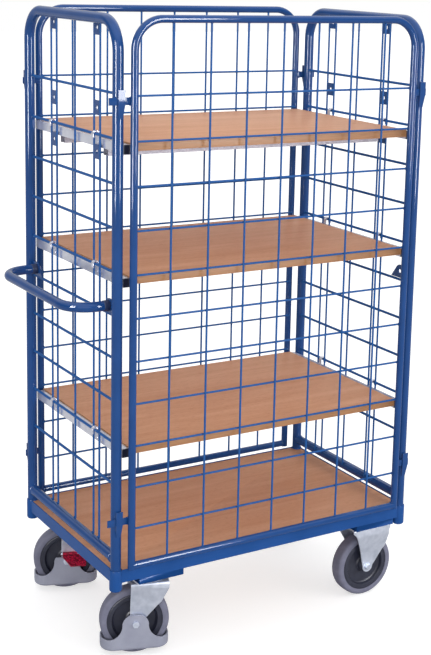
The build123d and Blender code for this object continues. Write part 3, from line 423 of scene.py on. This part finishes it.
for side, wall_name in ((-1, "front"), (1, "back")):
    y = side * wall_y
    hoop = bmesh.new()
    foot = wall_bar_z - wall_tube_r
    legs = [mid_x + end * (end_half - (leg_beside_long if end == side else leg_beside_short))
            for end in (-1, 1)]
    tube(hoop, [(legs[0], y, foot), (legs[0], y, wall_top), (legs[1], y, wall_top), (legs[1], y, foot)],
         wall_bend, wall_tube_r)
    rod(hoop, (legs[0], y, wall_bar_z), (legs[1], y, wall_bar_z), wall_tube_r - bar_slack, tube_sides)
    tab_y = side * (leg_half + end_tube_r + tab_gap)
    for end, leg_x in zip((-1, 1), legs):
        tip_x = mid_x + end * (end_half + (tab_long if end == side else tab_short))
        weld_ring(hoop, (leg_x - end * bar_bead_in, y - side * bar_bead_off, wall_bar_z), (1, 0, 0),
                  wall_tube_r, bar_bead_rise)
        for z in tab_levels:
            lie = Matrix.Translation(((leg_x + tip_x) / 2, tab_y, z))
            size = Matrix.Diagonal((abs(tip_x - leg_x), tab_thick, tab_height, 1.0))
            flat = bmesh.ops.create_cube(hoop, size=1.0, matrix=lie @ size)["verts"]
            bmesh.ops.bevel(hoop, geom=list({e for v in flat for e in v.link_edges}), offset=tab_edge,
                            affect="EDGES", segments=2, profile=0.5, material=-1, clamp_overlap=True)
            for edge in (-1, 1):
                weld(hoop, (leg_x + end * tab_weld_out, tab_y + side * tab_weld_off,
                            z + edge * tab_height / 2), tab_weld)
    bmesh.ops.recalc_face_normals(hoop, faces=hoop.faces)
    finish_piece(hoop, f"{wall_name}_wall_tubes", f"{wall_name}_wall", [blue_paint],
                 f"{wall_name}_wall_frame")

    mesh = bmesh.new()
    outer = side * (wall_y - wire_sunk)
    inner = outer - side * wire_step
    for x in wall_uprights:
        rod(mesh, (mid_x + x, outer, wall_bar_z), (mid_x + x, outer, wall_top), wire_r)
        for z in (wall_bar_z + bar_weld_in, wall_top - bar_weld_in):
            weld(mesh, (mid_x + x, outer, z), bar_weld)
        for z in wall_levels:
            weld(mesh, (mid_x + x, (inner + outer) / 2, z), grid_weld)
    for z in wall_levels:
        rod(mesh, (legs[0], inner, z), (legs[1], inner, z), wire_r)
        for end, leg_x in zip((-1, 1), legs):
            weld(mesh, (leg_x - end * side_weld_in, inner + side * side_weld_off, z), side_weld)
    finish_piece(mesh, f"{wall_name}_wall_grid", f"{wall_name}_wall", [wire_paint_painted_lighter],
                 f"{wall_name}_wall_wires")

# Shelves: a beech-effect board between two zinc-plated box rails, on two folded rails below. Strap hooks
# are screwed to the box rails and hang on a level wire of each end wall, and black caps close the rails.

# Fresh bright zinc plate on thin sheet is paler and smoother than on the castors, with the same soft
# cloud in it, about 30 mm wide.
bright_zinc, tree, place = start_finish("bright_zinc_plated_sheet")
cloud = add_node(tree, "ShaderNodeTexNoise", {"Vector": place, "Scale": 1 / (30 * mm), "Detail": 4.0})
tone = add_node(tree, "ShaderNodeValToRGB", {"Fac": cloud.outputs["Fac"]},
                stops=((0.3, "#CFD1DF"), (0.7, "#DFE1EB")))
sheen = add_node(tree, "ShaderNodeMapRange", {"Value": cloud.outputs["Fac"], "To Min": 0.14, "To Max": 0.22})
shader = add_node(tree, "ShaderNodeBsdfPrincipled", {"Base Color": tone.outputs["Color"], "Metallic": 0.5,
                                                     "Roughness": sheen.outputs["Result"]})
add_node(tree, "ShaderNodeOutputMaterial", {"Surface": shader.outputs["BSDF"]})

# Sheet galvanised before it was folded is duller and greyer, with a spangle of crystals about 5 mm wide.
galvanised, tree, place = start_finish("galvanised_sheet")
spangle = add_node(tree, "ShaderNodeTexVoronoi", {"Vector": place, "Scale": 1 / (5 * mm)})
facet = add_node(tree, "ShaderNodeSeparateColor", {"Color": spangle.outputs["Color"]})
tone = add_node(tree, "ShaderNodeValToRGB", {"Fac": facet.outputs["Red"]},
                stops=((0.1, "#B4B3C2"), (0.9, "#C6C5D2")))
shader = add_node(tree, "ShaderNodeBsdfPrincipled", {"Base Color": tone.outputs["Color"], "Metallic": 0.15,
                                                     "Roughness": 0.6})
add_node(tree, "ShaderNodeOutputMaterial", {"Surface": shader.outputs["BSDF"]})

# The caps' plastic is nearly black with a cold tinge, smooth enough for a clear highlight on its edges.
black_plastic = moulded_plastic("black_moulded_plastic", "#171A2B", "#212539", 0.3)

for shelf in ("top", "middle", "lower"):
    body = f"{shelf}_shelf"
    board(f"{shelf}_shelf_board", f"{shelf}_shelf_panel", body)
    for part, width in (("end_rails", 0.6), ("hooks", 0.5), ("screws", 0.4)):
        rounded_copy(f"{body}_{part}", width, f"{body}_plated_{part}", body, bright_zinc)
    rounded_copy(f"{body}_under_rails", 0.5, f"{body}_plated_under_rails", body, galvanised)
    rounded_copy(f"{body}_caps", 0.6, f"{body}_end_caps", body, black_plastic)

# Castor steel: forks and plates pressed from 4 and 5 mm sheet, pins and axle bolts, all zinc plated.
# The swivel forks trail behind their pins, the fixed ones are one piece with their plates.
for part in ("swivel_plates", "swivel_kingpins", "fixed_forks", "fixed_axles"):
    rounded_copy(part, pressed_edge, f"plated_{part}", "trolley", zinc_plate)
for name in ("front", "back"):
    for part in ("swivel_fork", "swivel_pins"):
        rounded_copy(f"{name}_{part}", pressed_edge, f"{name}_plated_{part}", f"{name}_swivel",
                     zinc_plate)

# Wheels: a dark moulded polyamide centre on a pale nylon bush, with a thick grey elastic rubber tyre bonded
# round it. The tread is crowned and rounds over into the flat flanks.

# Grey rubber is dull and a little dusty, in patches about 30 mm wide. The grain of its moulded skin is
# finer than shows and is drawn at 1.5 mm.
grey_rubber, tree, place = start_finish("grey_elastic_rubber")
dust = add_node(tree, "ShaderNodeTexNoise", {"Vector": place, "Scale": 1 / (30 * mm), "Detail": 5.0,
                                             "Roughness": 0.65})
skin = add_node(tree, "ShaderNodeTexNoise", {"Vector": place, "Scale": 1 / (1.5 * mm), "Detail": 2.0})
tone = add_node(tree, "ShaderNodeValToRGB", {"Fac": dust.outputs["Fac"]},
                stops=((0.3, "#6E6F82"), (0.7, "#7C7D90")))
grain = add_node(tree, "ShaderNodeBump", {"Height": skin.outputs["Fac"], "Strength": 0.2,
                                          "Distance": 0.2 * mm})
shader = add_node(tree, "ShaderNodeBsdfPrincipled", {
    "Base Color": tone.outputs["Color"], "Roughness": 0.62, "IOR": 1.5, "Specular IOR Level": 0.1,
    "Normal": grain.outputs["Normal"]})
add_node(tree, "ShaderNodeOutputMaterial", {"Surface": shader.outputs["BSDF"]})

# Dark polyamide has a soft sheen and slow streaks of tone, about 25 mm wide, where it flowed into the
# mould. Its pits are finer than shows and are drawn at 1.2 mm.
dark_plastic, tree, place = start_finish("dark_polyamide")
flow = add_node(tree, "ShaderNodeTexNoise", {"Vector": place, "Scale": 1 / (25 * mm), "Detail": 3.0})
pit = add_node(tree, "ShaderNodeTexNoise", {"Vector": place, "Scale": 1 / (1.2 * mm), "Detail": 1.0})
tone = add_node(tree, "ShaderNodeValToRGB", {"Fac": flow.outputs["Fac"]},
                stops=((0.3, "#242637"), (0.7, "#2E3141")))
pits = add_node(tree, "ShaderNodeBump", {"Height": pit.outputs["Fac"], "Strength": 0.12,
                                         "Distance": 0.2 * mm})
shader = add_node(tree, "ShaderNodeBsdfPrincipled", {
    "Base Color": tone.outputs["Color"], "Roughness": 0.45, "IOR": 1.53, "Specular IOR Level": 0.35,
    "Normal": pits.outputs["Normal"]})
add_node(tree, "ShaderNodeOutputMaterial", {"Surface": shader.outputs["BSDF"]})

# Turned nylon is off-white and lets a little light into its surface, with a faint mottle about 4 mm wide.
pale_nylon, tree, place = start_finish("pale_nylon")
mottle = add_node(tree, "ShaderNodeTexNoise", {"Vector": place, "Scale": 1 / (4 * mm), "Detail": 2.0})
tone = add_node(tree, "ShaderNodeValToRGB", {"Fac": mottle.outputs["Fac"]},
                stops=((0.3, "#C9C7BC"), (0.7, "#D8D6CC")))
shader = add_node(tree, "ShaderNodeBsdfPrincipled", {"Base Color": tone.outputs["Color"], "Roughness": 0.4,
                                                     "IOR": 1.53, "Subsurface Weight": 0.05})
add_node(tree, "ShaderNodeOutputMaterial", {"Surface": shader.outputs["BSDF"]})

wheel_r, wheel_steps = 100.0, 72
tyre = [(81.05, 22.2), (83.0, 23.0), (90.5, 23.0), (94.8, 22.0), (97.9, 19.2), (99.3, 15.6), (99.8, 9.0),
        (wheel_r, 0.0)]
tyre += [(r, -h) for r, h in tyre[-2::-1]] + [tyre[0]]
centre = [(11.05, 27.0), (20.6, 27.0), (22.0, 25.8), (23.2, 13.0), (27.0, 9.4), (44.0, 8.0), (60.0, 8.6),
          (63.6, 11.4), (65.4, 19.6), (66.4, 21.0), (76.0, 21.0), (77.0, 20.2), (81.0, 20.2)]
centre += [(r, -h) for r, h in centre[::-1]] + [centre[0]]
bush = [(6.06, 27.0), (10.4, 27.0), (11.0, 26.4), (11.0, -26.4), (10.4, -27.0), (6.06, -27.0), (6.06, 27.0)]
wheel_parts = (("tyre", tyre, "grey_rubber", grey_rubber), ("rim", centre, "dark_plastic", dark_plastic),
               ("bearing", bush, "bearing_nylon", pale_nylon))
swivel_x, fixed_x, castor_y, trail = -354.0, 394.0, 243.0, 48.0
swivel_turn = Matrix.Rotation(math.radians(-20.0), 4, "Z")
lay_axle = Matrix.Translation((0, 0, wheel_r)) @ Matrix.Rotation(math.pi / 2, 4, "X")
for side, name in ((-1, "front"), (1, "back")):
    pivot = Matrix.Translation((mid_x + swivel_x, side * castor_y, 0))
    swivel_lie = pivot @ swivel_turn @ Matrix.Translation((-trail, 0, 0))
    fixed_lie = Matrix.Translation((mid_x + fixed_x, side * castor_y, 0))
    for kind, lie in (("swivel", swivel_lie), ("fixed", fixed_lie)):
        for part, outline, slot, finish in wheel_parts:
            wheel = bmesh.new()
            turned(wheel, outline, lie @ lay_axle, wheel_steps)
            finish_piece(wheel, f"{name}_{kind}_wheel_{part}", f"{name}_{kind}_wheel", [finish],
                         f"{name}_{kind}_{part}", smooth_to=30)

# Foot guards and pedals: injection-moulded guards in grey round the foot of each swivel wheel and ribbed
# pedals in red above them. Below its rim the tub of a guard is drawn in, so that it ends 18 mm above the
# floor and the tyre shows under it.

# Grey plastic is matt from the spark-eroded grain of its tool, drawn at 1.1 mm so that it shows, and its
# tone drifts over about 50 mm.
grey_plastic, tree, place = start_finish("grey_moulded_plastic")
spark = add_node(tree, "ShaderNodeTexNoise", {"Vector": place, "Scale": 1 / (1.1 * mm), "Detail": 2.0})
drift = add_node(tree, "ShaderNodeTexNoise", {"Vector": place, "Scale": 1 / (50 * mm), "Detail": 3.0})
tone = add_node(tree, "ShaderNodeValToRGB", {"Fac": drift.outputs["Fac"]},
                stops=((0.3, "#8A8D9F"), (0.7, "#979AAB")))
grain = add_node(tree, "ShaderNodeBump", {"Height": spark.outputs["Fac"], "Strength": 0.25,
                                          "Distance": 0.2 * mm})
shader = add_node(tree, "ShaderNodeBsdfPrincipled", {"Base Color": tone.outputs["Color"], "Roughness": 0.55,
                                                     "IOR": 1.5, "Normal": grain.outputs["Normal"]})
add_node(tree, "ShaderNodeOutputMaterial", {"Surface": shader.outputs["BSDF"]})

# Red plastic carries a moulded stipple for grip, drawn 5.5 mm apart so that it shows. Its colour is painted
# highlight on the crests and painted shade in the hollows between them.
red_plastic, tree, place = start_finish("red_moulded_plastic")
stipple = add_node(tree, "ShaderNodeTexVoronoi", {"Vector": place, "Scale": 1 / (5.5 * mm)})
tone = add_node(tree, "ShaderNodeValToRGB", {"Fac": stipple.outputs["Distance"]},
                stops=((0.25, "#CE1A46"), (0.7, "#6A0C26")))
crests = add_node(tree, "ShaderNodeBump", {"Height": stipple.outputs["Distance"], "Strength": 0.3,
                                           "Distance": 0.6 * mm}, invert=True)
shader = add_node(tree, "ShaderNodeBsdfPrincipled", {
    "Base Color": tone.outputs["Color"], "Roughness": 0.42, "IOR": 1.5, "Specular IOR Level": 0.15,
    "Normal": crests.outputs["Normal"]})
add_node(tree, "ShaderNodeOutputMaterial", {"Surface": shader.outputs["BSDF"]})

tub_top, tub_low, tub_clear = 53.0, 8.0, 18.0
guard_edge, pedal_edge = 0.8, 0.5
squeeze = (1, 1, (tub_top - tub_clear) / (tub_top - tub_low))
for name in ("front", "back"):
    tub = softened(f"{name}_foot_guard", guard_edge)
    bmesh.ops.scale(tub, vec=squeeze, space=Matrix.Translation((0, 0, -tub_top)),
                    verts=[v for v in tub.verts if v.co.z < tub_top])
    finish_piece(tub, f"{name}_moulded_guard", f"{name}_swivel", [grey_plastic],
                 f"{name}_foot_guard", flat_faces=True)
    rounded_copy(f"{name}_brake_pedal", pedal_edge, f"{name}_moulded_pedal", f"{name}_pedal",
                 red_plastic)

# Floor: a plain white studio floor that runs out to the surround and keeps the trolley's shadow.
# The camera sees it lifted to white, while it throws no more light on the trolley than its own colour does.
white_floor, tree = start_finish("white_floor")[:2]
matt = add_node(tree, "ShaderNodeBsdfDiffuse", {"Color": linear("#D0D0D0")})
lift = add_node(tree, "ShaderNodeEmission", {"Color": linear("#FFFFFF"), "Strength": 0.58})
both = add_node(tree, "ShaderNodeAddShader", {0: matt.outputs["BSDF"], 1: lift.outputs["Emission"]})
seen = add_node(tree, "ShaderNodeLightPath", {})
floor_look = add_node(tree, "ShaderNodeMixShader", {0: seen.outputs["Is Camera Ray"], 1: matt.outputs["BSDF"],
                                                   2: both.outputs["Shader"]})
add_node(tree, "ShaderNodeOutputMaterial", {"Surface": floor_look.outputs["Shader"]})
floor_half = 30.0
sheet = bmesh.new()
bmesh.ops.create_grid(sheet, x_segments=1, y_segments=1, size=floor_half)
floor_mesh = bpy.data.meshes.new("floor")
sheet.to_mesh(floor_mesh)
sheet.free()
floor_mesh.materials.append(white_floor)
put_in_scene("floor", floor_mesh)

# Surround: white to the camera, an even soft light on the trolley. Gloss mirrors a dimmer room in front,
# a paler one behind the trolley and a bright ceiling. Sockets 2 and 3 of a mix are its two values.
world = bpy.data.worlds.new("white_surround")
bpy.context.scene.world = world
world.use_nodes = True
tree = world.node_tree
tree.nodes.clear()
even_light, white_level = 0.92, 1.0
seen = add_node(tree, "ShaderNodeLightPath", {})
heading = add_node(tree, "ShaderNodeTexCoord", {}).outputs["Generated"]
behind = add_node(tree, "ShaderNodeVectorMath", {0: heading, 1: (0.55, 0.83, 0.0)}, operation="DOT_PRODUCT")
room = add_node(tree, "ShaderNodeMapRange", {"Value": behind.outputs["Value"], "From Min": 0.3,
                                             "From Max": 0.8, "To Min": 0.2, "To Max": 0.7})
above = add_node(tree, "ShaderNodeVectorMath", {0: heading, 1: (0.0, 0.0, 1.0)}, operation="DOT_PRODUCT")
ceiling = add_node(tree, "ShaderNodeMapRange", {"Value": above.outputs["Value"], "From Min": 0.35,
                                                "From Max": 0.7, "To Min": 0.0, "To Max": 1.5})
mirrored = add_node(tree, "ShaderNodeMath", {0: room.outputs["Result"], 1: ceiling.outputs["Result"]})
soft = add_node(tree, "ShaderNodeMix", {0: seen.outputs["Is Glossy Ray"], 2: even_light,
                                        3: mirrored.outputs["Value"]})
shown = add_node(tree, "ShaderNodeMath", {0: seen.outputs["Is Camera Ray"],
                                          1: seen.outputs["Is Transmission Ray"]}, operation="MAXIMUM")
level = add_node(tree, "ShaderNodeMix", {0: shown.outputs["Value"], 2: soft.outputs[0], 3: white_level})
sky = add_node(tree, "ShaderNodeBackground", {"Color": linear("#FFFFFF"), "Strength": level.outputs[0]})
add_node(tree, "ShaderNodeOutputWorld", {"Surface": sky.outputs["Background"]})


# Lamps: a broad key from the left of the camera, a fill from its right that gloss doesn't mirror, and a
# faint one above. Two upright strips, seen by gloss alone, draw the bright lines along the tubes.
def hang_lamp(name, kind, place, aim_z, energy):
    """Lamp at a place, turned towards a point over the middle of the floor."""
    made = put_in_scene(name, bpy.data.lights.new(name, kind))
    made.data.energy = energy
    made.location = place
    made.rotation_euler = (Vector((0.0, 0.0, aim_z)) - Vector(place)).to_track_quat("-Z", "Y").to_euler()
    return made


for name, place, strength, spread in (("key_lamp", (-2.4, -4.6, 1.5), 0.95, 50.0),
                                      ("fill_lamp", (3.6, -4.4, 3.0), 0.85, 50.0),
                                      ("top_lamp", (-0.6, -1.2, 6.0), 0.05, 45.0)):
    lamp = hang_lamp(name, "SUN", place, aim_z=0.9, energy=strength)
    lamp.data.angle = math.radians(spread)
    lamp.visible_glossy = name != "fill_lamp"
strip_wide, strip_high = 0.9, 2.0
for name, place, power in (("left_strip", (-3.2, -1.3, 1.8), 240.0),
                           ("right_strip", (1.15, -3.45, 1.8), 185.0)):
    lamp = hang_lamp(name, "AREA", place, aim_z=1.0, energy=power)
    lamp.data.shape = "RECTANGLE"
    lamp.data.size = strip_wide
    lamp.data.size_y = strip_high
    lamp.visible_camera = False
    lamp.visible_diffuse = False

# Camera: at the photographed viewpoint, fitted to the trolley's own lines. Its axis falls beside the
# middle of the picture, so the lens is shifted by that much of the picture's height.
picture_wide, picture_high, sensor = 431, 655, 36
focal, axis_across, axis_down = 1385.98, 302.28, 237.3
yaw, pitch, roll = math.radians(-33.483), math.radians(11.25), math.radians(1.802)
viewpoint = (-2.0239, -3.5708, 1.9718)
back = Vector((math.sin(yaw) * math.cos(pitch), -math.cos(yaw) * math.cos(pitch), math.sin(pitch)))
level_right = Vector((math.cos(yaw), math.sin(yaw), 0))
level_up = back.cross(level_right)
right = level_right * math.cos(roll) + level_up * math.sin(roll)
up = level_up * math.cos(roll) - level_right * math.sin(roll)
lens = bpy.data.cameras.new("camera")
lens.lens = focal / picture_high * sensor
lens.sensor_width = sensor
lens.shift_x = (picture_wide / 2 - axis_across) / picture_high
lens.shift_y = (axis_down - picture_high / 2) / picture_high
camera = put_in_scene("camera", lens)
camera.matrix_world = Matrix.Translation(viewpoint) @ Matrix((right, up, back)).transposed().to_4x4()
bpy.context.scene.camera = camera
bpy.context.scene.view_settings.view_transform = "Standard"
